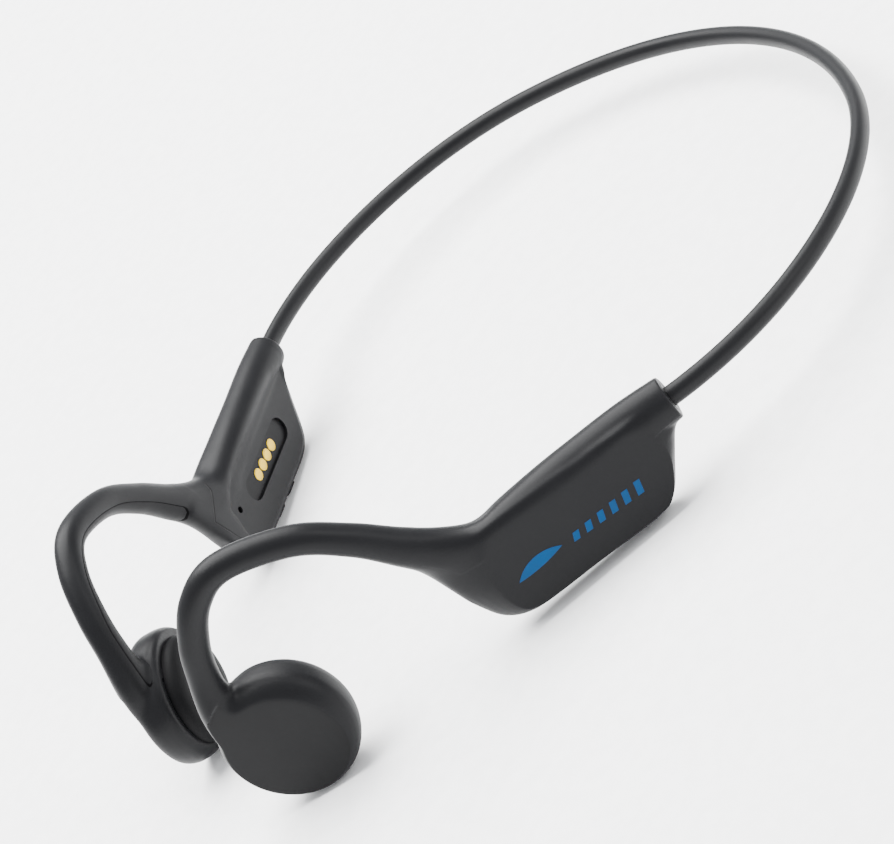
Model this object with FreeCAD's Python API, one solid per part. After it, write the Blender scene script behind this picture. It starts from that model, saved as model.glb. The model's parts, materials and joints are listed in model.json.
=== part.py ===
import FreeCAD, Part
import math
import os

# Bone conduction headphones: a sprung neckband, two pods, two ear hooks, two transducers.
# Lengths are millimetres.
# Band frame: X to the wearer's left, Y to the back, Z up, with the neckband lying in z = 0.
# Side frame: x forward along the pod from the neckband's end, y outwards, z up.
# The right side is the mirror image of the left one.

os.makedirs("parts", exist_ok=True)
V = FreeCAD.Vector

# Neckband: three tangent arcs on each side, from the nape to the pod
napeRadius, shoulderRadius, sideRadius = 80.0, 50.0, 43.0
napeTurn, shoulderTurn, sideTurn = 35.0, 55.0, 31.7
napeY = 78.0
bandHalfWidth, bandHalfHeight = 1.45, 1.65
springRadius, cableRadius = 0.45, 0.5
springDrop, cableRise = 0.62, 0.55
sleeveInPod, springInPod, cableInPod = 4.0, 10.0, 14.0
bandGap = 0.05

# The level that the headphones rest at, on both transducers and the rear of both pods
restTilt = 5.1

# Ear side arm: stations of one tapering tube from the collar over the ear to the transducer.
# Each is its centre (x, y, z), its heading (x, z), half height in its plane and half width in y.
armStations = [
    ((0.0, 0.0, 0.1), (1.0, 0.0), 3.55, 3.4),
    ((9.0, 0.1, 0.0), (1.0, 0.0), 3.96, 3.95),
    ((22.0, 0.1, -0.2), (1.0, -0.03), 3.96, 3.95),
    ((30.0, 0.1, -1.0), (1.0, -0.05), 3.96, 3.9),
    ((36.0, 0.0, -2.2), (1.0, 0.2), 4.75, 3.4),
    ((41.2, 0.0, 1.3), (0.8, 0.6), 4.0, 3.1),
    ((45.3, 0.0, 6.2), (0.71, 0.70), 3.0, 2.75),
    ((50.2, 0.0, 12.0), (0.72, 0.69), 2.55, 2.5),
    ((57.1, 0.0, 17.7), (0.84, 0.54), 2.42, 2.4),
    ((67.7, -0.5, 20.8), (1.0, -0.05), 2.42, 2.4),
    ((74.4, -1.3, 18.1), (0.76, -0.65), 2.42, 2.4),
    ((79.3, -2.3, 12.1), (0.5, -0.87), 2.42, 2.4),
    ((82.0, -3.0, 6.2), (0.36, -0.93), 2.6, 2.5),
    ((83.6, -3.5, 0.4), (0.22, -0.97), 3.3, 2.7),
    ((84.6, -3.8, -5.0), (0.06, -1.0), 2.8, 2.4),
    ((84.4, -3.6, -10.0), (-0.12, -1.0), 1.6, 1.5),
]
hookSeam = V(41.2, 0.0, 0.0)
hookSeamNormal = V(0.584, 0.0, 0.812)

# Pod: the flat paddle that hangs below the arm
podOutline = [((0.9, 1.0), 0.0), ((0.9, -2.6), 0.0), ((9.6, -15.0), 6.0), ((40.3, -15.2), 4.5),
              ((43.0, -1.5), 0.0), ((39.0, 1.0), 0.0)]
podInner, facetY = -3.0, 3.6
podEdge = 1.2
wall = 1.3
partingY = -1.4
sealWidth = 0.5
boreRadius, boreZ = 2.1, -0.5

# Transducer: a thick round capsule behind the hook's front leg
capsuleCentre = V(77.5, -2.8, -8.8)
capsuleAxis = V(0.193, 0.976, 0.10)
capsuleRadius, seamRadius, facetRadius = 11.2, 9.5, 8.9
seamLevel, capsuleFacet, padFace = -2.5, 4.7, -5.3
capRadius, capThickness = 8.3, 0.7
padFlatRadius = 6.6

# Charging recess in the right pod's inner face
recessX, recessZ = 22.4, -6.93
recessLength, recessWidth, recessDepth = 19.5, 4.4, 0.9
contactPitch, contactRadius, contactProud = 2.54, 1.12, 0.15
magnetOffset, magnetRadius, magnetThickness = 7.35, 1.9, 1.0
carrierThickness, carrierStep, carrierRim, carrierGap = 1.3, 0.3, 1.0, 0.05
contactRelief, contactReliefDepth = 0.06, 0.3
microphoneX, microphoneZ, microphoneHole = 36.4, -5.9, 0.6

# Buttons in the right pod's underside
buttonNames = ["volume_down_button", "power_button", "volume_up_button"]
buttonFirstX, buttonPitch, buttonY = 20.5, 6.0, 0.5
buttonLength, buttonWidth, buttonProud = 4.8, 2.6, 0.3
buttonClearance, buttonTravel = 0.12, 0.4
buttonFlange, buttonFlangeThickness, switchZ = 0.7, 0.4, -11.75
buttonSealY, buttonSealZ, buttonSealWidth, buttonSealThickness = 0.3, -12.5, 3.4, 0.4
indicatorX, indicatorY, indicatorRadius, indicatorLength = 15.4, 0.6, 0.6, 2.2
podUnderside = -15.1


# ---- small shape helpers ----

def blendValue(a, b, c, d, t):
    # a smooth curve from b to c that takes its slopes from a and d
    slope0, slope1 = (c - a) / 2, (d - b) / 2
    return (b + slope0 * t + (3 * (c - b) - 2 * slope0 - slope1) * t ** 2
            + (2 * (b - c) + slope0 + slope1) * t ** 3)


def fineStations(stations, steps):
    flat = [list(c) + list(h) + [halfIn, halfOut] for c, h, halfIn, halfOut in stations]
    flat = [[2 * p - q for p, q in zip(flat[0], flat[1])]] + flat
    flat.append([2 * p - q for p, q in zip(flat[-1], flat[-2])])
    fine = []
    for i in range(1, len(flat) - 2):
        for step in range(steps):
            v = [blendValue(*values, step / steps) for values in zip(*flat[i - 1:i + 3])]
            fine.append(((v[0], v[1], v[2]), (v[3], v[4]), v[5], v[6]))
    return fine + [stations[-1]]


def tubeThrough(stations, steps=3):
    wires = []
    for centre, heading, halfIn, halfOut in fineStations(stations, steps):
        c = V(*centre)
        d = V(heading[0], 0, heading[1]).normalize()
        across = V(-d.z, 0, d.x)
        halfIn = max(halfIn, halfOut + 0.004)
        curve = Part.Ellipse(c + across * halfIn, c + V(0, 1, 0) * halfOut, c)
        wires.append(Part.Wire([curve.toShape()]))
    return Part.makeLoft(wires, True, True)


def roundedWire(corners, y):
    # closed outline in the x-z plane, each corner rounded by its own radius
    count = len(corners)
    tangents = []
    for i in range(count):
        (x, z), radius = corners[i]
        p = V(x, y, z)
        before = (V(corners[i - 1][0][0], y, corners[i - 1][0][1]) - p).normalize()
        after = (V(corners[(i + 1) % count][0][0], y, corners[(i + 1) % count][0][1]) - p).normalize()
        if radius == 0:
            tangents.append((p, p, p))
            continue
        half = math.acos(max(-1.0, min(1.0, before.dot(after)))) / 2
        run = radius / math.tan(half)
        middle = (before + after).normalize() * (radius / math.sin(half) - radius)
        tangents.append((p + before * run, p + middle, p + after * run))
    edges = []
    for i in range(count):
        start, mid, end = tangents[i]
        if start.distanceToPoint(end) > 1e-6:
            edges.append(Part.Arc(start, mid, end).toShape())
        edges.append(Part.LineSegment(end, tangents[(i + 1) % count][0]).toShape())
    return Part.Wire(edges)


def prism(wire, depth):
    return Part.Face(wire).extrude(V(0, depth, 0))


def slab(x, y, z, lengthX, lengthY, lengthZ):
    return Part.makeBox(lengthX, lengthY, lengthZ, V(x - lengthX / 2, y - lengthY / 2, z - lengthZ / 2))


def obround(length, width, depth, centre, axis="y"):
    # a slot shape along x, standing from centre along y or z
    run = (length - width) / 2
    up = V(0, 0, 1) if axis == "y" else V(0, 1, 0)
    out = V(0, 1, 0) if axis == "y" else V(0, 0, 1)
    a, b = V(run, 0, 0), V(-run, 0, 0)
    r = width / 2
    edges = [Part.LineSegment(centre + b + up * r, centre + a + up * r).toShape(),
             Part.Arc(centre + a + up * r, centre + a + V(r, 0, 0), centre + a - up * r).toShape(),
             Part.LineSegment(centre + a - up * r, centre + b - up * r).toShape(),
             Part.Arc(centre + b - up * r, centre + b - V(r, 0, 0), centre + b + up * r).toShape()]
    return Part.Face(Part.Wire(edges)).extrude(out * depth)


def halfSpace(point, normal):
    # everything on the normal's side of a plane
    size = 300.0
    box = Part.makeBox(size, size, size, V(-size / 2, -size / 2, 0))
    box.Placement = FreeCAD.Placement(point, FreeCAD.Rotation(V(0, 0, 1), normal))
    return box


def turned(points):
    # solid of revolution from (radius, level) points about the capsule's axis
    wire = Part.makePolygon([V(r, 0, h) for r, h in points + points[:1]])
    return Part.Face(wire).revolve(V(0, 0, 0), V(0, 0, 1), 360)


def disc(radius, low, high, inner=0.0):
    ring = Part.makeCylinder(radius, high - low, V(0, 0, low))
    return ring.cut(Part.makeCylinder(inner, high - low, V(0, 0, low))) if inner else ring


def inCapsule(shape):
    shape = shape.copy()
    shape.Placement = FreeCAD.Placement(capsuleCentre, FreeCAD.Rotation(V(0, 0, 1), capsuleAxis))
    return shape


# ---- neckband, in the band frame ----

def bandArcs():
    # (centre, start angle, turn) of the left half's arcs, then the neckband's end point
    centre = V(0, napeY - napeRadius, 0)
    angle = 90.0
    arcs = []
    radius = napeRadius
    for nextRadius, turn in ((shoulderRadius, napeTurn), (sideRadius, shoulderTurn), (None, sideTurn)):
        arcs.append((V(centre), radius, angle, turn))
        angle -= turn
        out = V(math.cos(math.radians(angle)), math.sin(math.radians(angle)), 0)
        end = centre + out * radius
        if nextRadius:
            centre = end - out * nextRadius
            radius = nextRadius
    return arcs, end


bandParts, bandEnd = bandArcs()


def bandRun(halfWidth, halfHeight, rise, inPod):
    # a run of constant oval section along the whole neckband and into both pods
    pieces = []
    for centre, radius, angle, turn in bandParts:
        out = V(math.cos(math.radians(angle)), math.sin(math.radians(angle)), 0)
        middle = centre + out * radius + V(0, 0, rise)
        tall, wide = V(0, 0, halfHeight), out * halfWidth
        face = Part.Face(Part.Wire([Part.Ellipse(middle + tall, middle + wide, middle).toShape()]))
        pieces.append(face.revolve(centre, V(0, 0, -1), turn))
    side = V(math.cos(math.radians(sideTurn)), -math.sin(math.radians(sideTurn)), 0)
    middle = bandEnd + V(0, 0, rise)
    face = Part.Face(Part.Wire([Part.Ellipse(middle + V(0, 0, halfHeight), middle + side * halfWidth,
                                             middle).toShape()]))
    forward = V(-math.sin(math.radians(sideTurn)), -math.cos(math.radians(sideTurn)), 0)
    pieces.append(face.extrude(forward * inPod))
    pieces += [piece.mirror(V(0, 0, 0), V(1, 0, 0)) for piece in pieces]
    return pieces[0].multiFuse(pieces[1:]).removeSplitter()


def makeNeckband():
    spring = bandRun(springRadius - 0.005, springRadius, -springDrop, springInPod)
    cable = bandRun(cableRadius - 0.005, cableRadius, cableRise, cableInPod)
    sleeve = bandRun(bandHalfWidth, bandHalfHeight, 0, sleeveInPod).cut(spring).cut(cable)
    return {"neckband_sleeve": sleeve, "neckband_spring_wire": spring, "neckband_cable": cable}


# ---- one side, in the side frame ----

def offsetOutline(inset, y):
    wire = roundedWire(podOutline, y)
    return wire.makeOffset2D(-inset) if inset else wire


def capsuleEnvelope():
    points = [(0, seamLevel), (seamRadius, seamLevel)]
    steps = 6
    for i in range(1, steps + 1):       # quarter round from the seam out to the widest ring
        a = math.radians(90.0 * i / steps)
        points.append((seamRadius + (capsuleRadius - seamRadius) * math.sin(a), seamLevel * math.cos(a)))
    for i in range(1, steps + 1):       # and in again to the outer facet
        a = math.radians(90.0 * i / steps)
        points.append((facetRadius + (capsuleRadius - facetRadius) * math.cos(a),
                       capsuleFacet * math.sin(a)))
    points.append((0, capsuleFacet))
    return turned(points)


def makeTransducer():
    nodes = {}
    floor = capsuleFacet - capThickness
    shell = capsuleEnvelope().cut(disc(capRadius, floor, capsuleFacet))
    shell = shell.cut(disc(8.3, seamLevel, floor - 1.1))
    nodes["transducer_housing"] = shell
    nodes["transducer_cap"] = disc(capRadius, floor, capsuleFacet)
    lip = turned([(0, seamLevel), (seamRadius - 0.3, seamLevel), (seamRadius - 0.3, -3.7),
                  (8.9, -4.4), (8.2, -4.95), (padFlatRadius + 0.5, padFace + 0.05), (padFlatRadius, padFace),
                  (0, padFace)])
    nodes["transducer_pad"] = lip.cut(disc(8.2, -4.2, seamLevel))
    nodes["driver_yoke"] = disc(7.9, -0.9, 2.7).cut(disc(6.9, -0.9, 1.6))
    nodes["driver_magnet"] = disc(5.2, 0.0, 1.6)
    nodes["driver_coil"] = disc(6.5, -1.5, 1.2, 5.5)
    plate = disc(8.2, -1.9, -1.5, 1.0)
    for i in range(3):                   # three curved arms leave the middle free to vibrate
        slot = disc(7.4, -1.9, -1.5, 6.8).common(slab(7.0, 0, -1.7, 6.0, 9.0, 1.0))
        plate = plate.cut(slot.rotated(V(0, 0, 0), V(0, 0, 1), 120 * i))
    nodes["driver_spring_plate"] = plate
    nodes["driver_post"] = disc(2.2, -4.2, -1.9).fuse(disc(1.0, -1.9, -1.2))
    return {name: inCapsule(shape) for name, shape in nodes.items()}


def armLine(stations, radius, rise):
    # a thin round line inside the arm, following the same stations
    return tubeThrough([((c[0] - h[1] * rise, c[1], c[2] + h[0] * rise), h, radius, radius)
                       for c, h, halfIn, halfOut in stations])


def makeArm():
    nodes = makeTransducer()
    capsule = inCapsule(capsuleEnvelope())
    tube = tubeThrough(armStations)
    paddle = prism(roundedWire(podOutline, podInner), facetY - podInner)
    rim = [edge for edge in paddle.Edges if abs(edge.BoundBox.YLength) < 1e-6 and edge.BoundBox.ZMin < -3]
    paddle = paddle.makeFillet(podEdge, rim)
    seamSide = halfSpace(hookSeam, hookSeamNormal)

    podTube = tube.cut(seamSide).cut(halfSpace(V(0, facetY, 0), V(0, 1, 0)))
    podPaddle = paddle.cut(seamSide)
    cavity = prism(offsetOutline(wall, podInner + wall), facetY - wall - (podInner + wall))
    cavity = cavity.cut(slab(0, 0, 2.5, 200, 20, 7.0))
    cavity = cavity.cut(slab(2.0, 0, -8.0, 9.0, 20, 30.0))
    bore = Part.makeCylinder(boreRadius, 31.5, V(5.5, 0.2, boreZ), V(1, 0, 0))

    wire = armLine(armStations[3:14], 0.45, 0.7)
    leads = armLine(armStations[3:14], 0.5, -0.6)
    sleeve = tube.common(seamSide).cut(capsule)
    sleeve = max(sleeve.Solids, key=lambda solid: solid.Volume)
    stripBody = tubeThrough([((c[0] + h[1] * (halfIn - 0.28), c[1] - 0.9, c[2] - h[0] * (halfIn - 0.28)),
                             h, 0.32, 0.3) for c, h, halfIn, halfOut in armStations[6:12]])
    collar = Part.makeCylinder(3.05, 0.7, V(-0.7, 0, 0.1), V(1, 0, 0))
    collar = collar.fuse(Part.makeCylinder(2.5, 5.6, V(0, 0, 0.1), V(1, 0, 0)))
    bandEllipse = Part.Ellipse(V(-1, 0, bandHalfHeight + bandGap), V(-1, bandHalfWidth + bandGap, 0), V(-1, 0, 0))
    bandHole = Part.Face(Part.Wire([bandEllipse.toShape()])).extrude(V(1 + sleeveInPod + bandGap, 0, 0))
    linesHole = slab(6.0, 0, 0, 6.0, 1.4, 2.8)
    collar = collar.cut(bandHole).cut(linesHole)
    collarSeat = Part.makeCylinder(2.5, 5.6, V(0, 0, 0.1), V(1, 0, 0))

    seal = prism(offsetOutline(wall / 2 - sealWidth / 2, partingY - sealWidth / 2), sealWidth)
    seal = seal.cut(prism(offsetOutline(wall / 2 + sealWidth / 2, partingY - sealWidth / 2), sealWidth))
    seal = seal.common(slab(22.0, 0, -9.0, 60.0, 20, 14.0))
    seal = max(seal.Solids, key=lambda solid: solid.Volume)

    inner = halfSpace(V(0, partingY, 0), V(0, -1, 0))
    halves = {"outer_shell": podTube.cut(inner).fuse(podPaddle.cut(inner)),
              "inner_shell": podTube.common(inner).fuse(podPaddle.common(inner))}
    for name, shell in halves.items():
        for hollow in (cavity, bore, collarSeat, wire, leads, seal):
            shell = shell.cut(hollow)
        nodes[name] = max(shell.Solids, key=lambda solid: solid.Volume)
    nodes["shell_seal"] = seal
    nodes["band_collar"] = collar
    nodes["hook_strip"] = stripBody
    nodes["hook_wire"] = wire
    nodes["hook_leads"] = leads
    nodes["hook_sleeve"] = sleeve.cut(wire).cut(leads).cut(stripBody)
    nodes["transducer_housing"] = nodes["transducer_housing"].cut(wire).cut(leads)
    return nodes


def makeBattery():
    cell = slab(23.0, 0.3, -8.6, 25.0, 3.6, 8.6)
    cell = cell.makeFillet(1.2, [e for e in cell.Edges if abs(e.BoundBox.XLength - 25.0) < 1e-6])
    board = slab(36.8, 0.3, -8.4, 1.0, 3.4, 6.5).fuse(slab(37.6, 0.3, -9.2, 0.8, 2.2, 3.0))
    return {"battery_cell": cell, "battery_protection_board": board}


def makeAccent(outerShell):
    # a row of slanted bars and one long lens shaped stroke, let into the flat outer face
    depth = 0.2
    bars = []
    for i in range(6):
        x = 11.4 + 2.35 * i
        height = 2.3 - 0.18 * i
        low, high = -8.4, -8.4 + height
        wire = Part.makePolygon([V(x, facetY - depth, low), V(x + 1.1, facetY - depth, low),
                                 V(x + 0.5, facetY - depth, high), V(x - 0.6, facetY - depth, high),
                                 V(x, facetY - depth, low)])
        bars.append(prism(wire, depth))
    a, b = V(26.0, facetY - depth, -7.6), V(34.6, facetY - depth, -8.6)
    upper = Part.Arc(a, V(30.3, facetY - depth, -6.5), b)
    lower = Part.Arc(b, V(30.3, facetY - depth, -8.5), a)
    bars.append(prism(Part.Wire([upper.toShape(), lower.toShape()]), depth))
    accent = Part.makeCompound(bars)
    for bar in bars:
        outerShell = outerShell.cut(bar)
    return accent, outerShell


def makeElectronics(arm):
    nodes = {}
    face = podInner
    floorY = face + recessDepth
    centre = V(recessX, 0, recessZ)
    inner = arm["inner_shell"]
    rimLevel = centre + V(0, floorY + carrierStep, 0)
    rimLength, rimWidth = recessLength + 2 * carrierRim, recessWidth + 1.6 * carrierRim
    recess = obround(recessLength, recessWidth, recessDepth + carrierStep, centre + V(0, face, 0))
    seat = obround(rimLength, rimWidth, 0.8, rimLevel)
    # the carrier's floor stands up into the recess, and its rim seals behind the wall
    raised = obround(recessLength - 2 * carrierGap, recessWidth - 2 * carrierGap, carrierThickness / 2,
                     centre + V(0, floorY, 0))
    carrier = obround(rimLength, rimWidth, carrierThickness - carrierStep, rimLevel).fuse(raised).removeSplitter()
    contacts = []
    for i in range(4):
        x = (i - 1.5) * contactPitch
        contacts.append(Part.makeCylinder(contactRadius, carrierThickness + contactProud + 0.3,
                                          centre + V(x, floorY - contactProud, 0), V(0, 1, 0)))
        carrier = carrier.cut(Part.makeCylinder(contactRadius + contactRelief, contactReliefDepth + contactProud,
                                                centre + V(x, floorY - contactProud, 0), V(0, 1, 0)))
    magnets = [Part.makeCylinder(magnetRadius, magnetThickness,
                                 centre + V(x, floorY + carrierThickness - magnetThickness, 0), V(0, 1, 0))
               for x in (-magnetOffset, magnetOffset)]
    for solid in contacts + magnets:
        carrier = carrier.cut(solid)
    hole = Part.makeCylinder(microphoneHole, 3.0, V(microphoneX, face - 1, microphoneZ), V(0, 1, 0))
    arm["inner_shell"] = inner.cut(recess).cut(seat).cut(hole)
    nodes["charge_contact_carrier"] = carrier
    nodes["charge_contacts"] = Part.makeCompound(contacts)
    nodes["charge_magnets"] = Part.makeCompound(magnets)
    nodes["microphone_mesh"] = Part.makeCylinder(1.1, 0.25, V(microphoneX, face + wall, microphoneZ), V(0, 1, 0))
    nodes["microphone"] = slab(microphoneX, face + wall + 0.8, microphoneZ, 3.0, 1.0, 2.4)

    board = slab(24.0, 1.0, -7.6, 28.0, 0.7, 8.0)
    nodes["main_board"] = board
    nodes["radio_module"] = slab(30.5, 1.8, -7.0, 9.0, 0.9, 6.5)
    nodes["memory_chip"] = slab(18.0, 1.75, -7.0, 8.0, 0.8, 6.0)

    outer = arm["outer_shell"]
    switches = []
    cavityFloor = podUnderside + wall
    for i, name in enumerate(buttonNames):
        x = buttonFirstX + i * buttonPitch
        bottom = V(x, buttonY, podUnderside - buttonProud)
        head = obround(buttonLength, buttonWidth, buttonProud + wall + 0.1, bottom, "z")
        flange = obround(buttonLength + buttonFlange, buttonWidth + buttonFlange, buttonFlangeThickness,
                         V(x, buttonY, cavityFloor + 0.1), "z")
        nodes[name] = head.fuse(flange).removeSplitter()
        outer = outer.cut(obround(buttonLength + 2 * buttonClearance, buttonWidth + 2 * buttonClearance, 3.0,
                                  V(x, buttonY, podUnderside - 1.0), "z"))
        switches.append(slab(x, buttonY, switchZ, 3.0, 1.9, 0.5))
    nodes["button_seal"] = slab(buttonFirstX + buttonPitch, buttonSealY, buttonSealZ, 3 * buttonPitch + 1.0,
                                buttonSealWidth, buttonSealThickness)
    nodes["button_switches"] = Part.makeCompound([s.cut(board) for s in switches])
    lensPlace = V(indicatorX, indicatorY, podUnderside + 0.05)
    nodes["indicator_lens"] = Part.makeCylinder(indicatorRadius, indicatorLength, lensPlace, V(0, 0, 1))
    lensHole = Part.makeCylinder(indicatorRadius, indicatorLength + 1.0, lensPlace - V(0, 0, 1.0), V(0, 0, 1))
    arm["outer_shell"] = outer.cut(lensHole)
    return nodes


# ---- place, level and write ----

sideTurnPlacement = FreeCAD.Placement(bandEnd, FreeCAD.Rotation(V(0, 0, 1), -(90.0 + sideTurn)))


def toSide(shape, side):
    placed = shape.copy()
    placed.Placement = sideTurnPlacement.multiply(placed.Placement)
    return placed if side == "left" else placed.mirror(V(0, 0, 0), V(1, 0, 0))


nodes = makeNeckband()
for side in ("left", "right"):
    arm = makeArm()
    if side == "left":
        extras = makeBattery()
        extras["accent_inlay"], arm["outer_shell"] = makeAccent(arm["outer_shell"])
    else:
        extras = makeElectronics(arm)
    for name, shape in arm.items():
        nodes[side + "_" + name] = toSide(shape, side)
    for name, shape in extras.items():
        nodes[name] = toSide(shape, side)

level = FreeCAD.Placement(V(0, 0, 0), FreeCAD.Rotation(V(1, 0, 0), -restTilt))
for name, shape in nodes.items():
    shape.Placement = level.multiply(shape.Placement)

# the origin goes to the bottom centre of the whole object
boxes = [shape.optimalBoundingBox(False, False) for shape in nodes.values()]
low = V(min(b.XMin for b in boxes), min(b.YMin for b in boxes), min(b.ZMin for b in boxes))
high = V(max(b.XMax for b in boxes), max(b.YMax for b in boxes), max(b.ZMax for b in boxes))
shift = FreeCAD.Placement(V(-(low.x + high.x) / 2, -(low.y + high.y) / 2, -low.z), FreeCAD.Rotation())
print("size", round(high.x - low.x, 2), round(high.y - low.y, 2), round(high.z - low.z, 2))

for name, shape in nodes.items():
    shape.Placement = shift.multiply(shape.Placement)
    solids = shape.Solids
    result = solids[0] if len(solids) == 1 else Part.makeCompound(solids)
    result.exportStep("parts/" + name + ".step")
    print(name, len(solids), "valid" if result.isValid() else "NOT VALID", round(shape.Volume, 1))

finalPlacement = shift.multiply(level)


def report(label, point, direction):
    p = finalPlacement.multVec(point)
    d = level.Rotation.multVec(direction)
    print(label, [round(v / 1000, 6) for v in p], [round(v, 6) for v in d])


flexEnd = bandParts[1][0] + V(math.cos(math.radians(90 - napeTurn)), math.sin(math.radians(90 - napeTurn)),
                              0) * shoulderRadius
report("left flex", flexEnd, V(0, 0, 1))
report("right flex", V(-flexEnd.x, flexEnd.y, 0), V(0, 0, 1))
padPoint = capsuleCentre + capsuleAxis.normalize() * padFace
report("left pad", sideTurnPlacement.multVec(padPoint), sideTurnPlacement.Rotation.multVec(-capsuleAxis))
floorPoint = sideTurnPlacement.multVec(V(recessX + 6.9, podInner + recessDepth, recessZ))
report("recess floor (mirror x)", floorPoint, sideTurnPlacement.Rotation.multVec(V(0, -1, 0)))
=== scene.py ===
import json
import math
import bpy
import bmesh
import numpy as np
from mathutils import Vector, Matrix
from mathutils.bvhtree import BVHTree


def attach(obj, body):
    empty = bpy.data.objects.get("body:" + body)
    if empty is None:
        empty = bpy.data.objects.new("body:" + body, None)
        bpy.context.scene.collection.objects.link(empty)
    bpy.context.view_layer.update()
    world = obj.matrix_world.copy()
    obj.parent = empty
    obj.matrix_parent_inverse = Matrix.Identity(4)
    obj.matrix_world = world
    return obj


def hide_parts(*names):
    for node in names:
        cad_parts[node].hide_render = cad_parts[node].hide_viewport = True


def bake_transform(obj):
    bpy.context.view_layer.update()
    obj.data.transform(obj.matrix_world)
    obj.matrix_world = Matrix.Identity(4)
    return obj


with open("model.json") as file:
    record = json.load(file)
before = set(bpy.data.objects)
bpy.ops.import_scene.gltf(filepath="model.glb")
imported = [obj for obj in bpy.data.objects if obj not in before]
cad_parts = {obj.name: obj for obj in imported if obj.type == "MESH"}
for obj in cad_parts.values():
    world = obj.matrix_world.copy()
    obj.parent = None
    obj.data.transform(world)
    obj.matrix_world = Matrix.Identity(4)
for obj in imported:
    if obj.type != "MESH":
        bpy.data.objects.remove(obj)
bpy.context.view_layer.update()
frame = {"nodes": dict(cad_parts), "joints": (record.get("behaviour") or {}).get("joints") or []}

mm = 0.001
sides = {"left": 1, "right": -1}
sharpAngle = math.radians(38)


# The neckband's arcs in its own plane: X to the wearer's left, Y back, from the nape to the left pod
neckband = {"radii": (80.0, 50.0, 43.0), "turns": (35.0, 55.0, 31.7), "napeY": 78.0,
            "halfWidth": 1.446, "halfHeight": 1.65, "inPod": 3.8, "ringStep": 0.8, "around": 40,
            "bendReach": 34.0}


def bandPath(reach):
    points, headings = [], []
    turned, corner = 0.0, np.array([0.0, neckband["napeY"]])
    for radius, turn in zip(neckband["radii"], neckband["turns"]):
        centre = corner - radius * np.array([math.sin(turned), math.cos(turned)])
        steps = int(radius * math.radians(turn) / neckband["ringStep"])
        for i in range(steps):
            a = turned + math.radians(turn) * i / steps
            points.append(centre + radius * np.array([math.sin(a), math.cos(a)]))
            headings.append((math.cos(a), -math.sin(a)))
        turned += math.radians(turn)
        corner = centre + radius * np.array([math.sin(turned), math.cos(turned)])
    heading = np.array([math.cos(turned), -math.sin(turned)])
    for along in (0.0, reach / 2, reach):
        points.append(corner + heading * along)
        headings.append(heading)
    return np.array(points), np.array(headings), corner


leftFlex = next(j for j in frame["joints"] if j["name"] == "left_flex")
restTilt = math.atan2(leftFlex["axis"][1], leftFlex["axis"][2])
firstTurn = math.radians(neckband["turns"][0])
flexInBand = np.array([neckband["radii"][0] * math.sin(firstTurn),
                       neckband["napeY"] - neckband["radii"][0] * (1 - math.cos(firstTurn)), 0.0])


def tilted(points):
    p = np.asarray(points, float)
    c, s = math.cos(restTilt), math.sin(restTilt)
    return np.column_stack([p[:, 0], p[:, 1] * c + p[:, 2] * s, p[:, 2] * c - p[:, 1] * s])


levelShift = np.array(leftFlex["pos_m"]) - tilted([flexInBand])[0] * mm
bandEnd = bandPath(0.0)[2]
podTurn = math.radians(sum(neckband["turns"]) - 90.0)


def fromBand(points, side=1):
    placed = tilted(points) * mm + levelShift
    return placed * (side, 1, 1)


def fromSide(points, side=1):
    # side frame: x forward along the pod, y outwards, z up, in millimetres
    p = np.asarray(points, float).reshape(-1, 3)
    c, s = math.cos(podTurn), math.sin(podTurn)
    inBand = np.column_stack([bandEnd[0] - p[:, 0] * s + p[:, 1] * c,
                              bandEnd[1] - p[:, 0] * c - p[:, 1] * s, p[:, 2]])
    return fromBand(inBand, side)


view = {"place": (0.48286, -0.16749, 0.26916), "right": (0.52887, 0.55041, -0.64602),
        "up": (-0.07053, 0.78706, 0.61284), "back": (0.84577, -0.27854, 0.45507), "lens": 142.79}
camera = bpy.data.objects.new("camera", bpy.data.cameras.new("camera"))
bpy.context.scene.collection.objects.link(camera)
turn = Matrix((view["right"], view["up"], view["back"])).transposed().to_4x4()
camera.matrix_world = Matrix.Translation(view["place"]) @ turn
camera.data.lens = view["lens"]
camera.data.sensor_width = 36.0
camera.data.sensor_fit = "HORIZONTAL"
camera.data.clip_start, camera.data.clip_end = 0.05, 20.0
bpy.context.scene.camera = camera


def wire(tree, value, socket):
    if isinstance(value, bpy.types.NodeSocket):
        tree.links.new(value, socket)
    else:
        socket.default_value = value


def calc(tree, operation, *values, clamp=False):
    node = tree.nodes.new("ShaderNodeMath")
    node.operation, node.use_clamp = operation, clamp
    for value, socket in zip(values, node.inputs):
        wire(tree, value, socket)
    return node.outputs[0]


def noise(tree, place, scale, detail=3.0, rough=0.55):
    node = tree.nodes.new("ShaderNodeTexNoise")
    tree.links.new(place, node.inputs["Vector"])
    node.inputs["Scale"].default_value = scale
    node.inputs["Detail"].default_value = detail
    node.inputs["Roughness"].default_value = rough
    return node.outputs["Fac"]


def between(tree, factor, low, high):
    node = tree.nodes.new("ShaderNodeMapRange")
    node.inputs["From Min"].default_value, node.inputs["From Max"].default_value = 0.3, 0.7
    node.inputs["To Min"].default_value, node.inputs["To Max"].default_value = low, high
    tree.links.new(factor, node.inputs["Value"])
    return node.outputs[0]


def mixColour(tree, factor, a, b, kind="MIX"):
    node = tree.nodes.new("ShaderNodeMix")
    node.data_type, node.blend_type = "RGBA", kind
    wire(tree, factor, node.inputs[0])
    wire(tree, a, node.inputs[6])
    wire(tree, b, node.inputs[7])
    return node.outputs[2]


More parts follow.
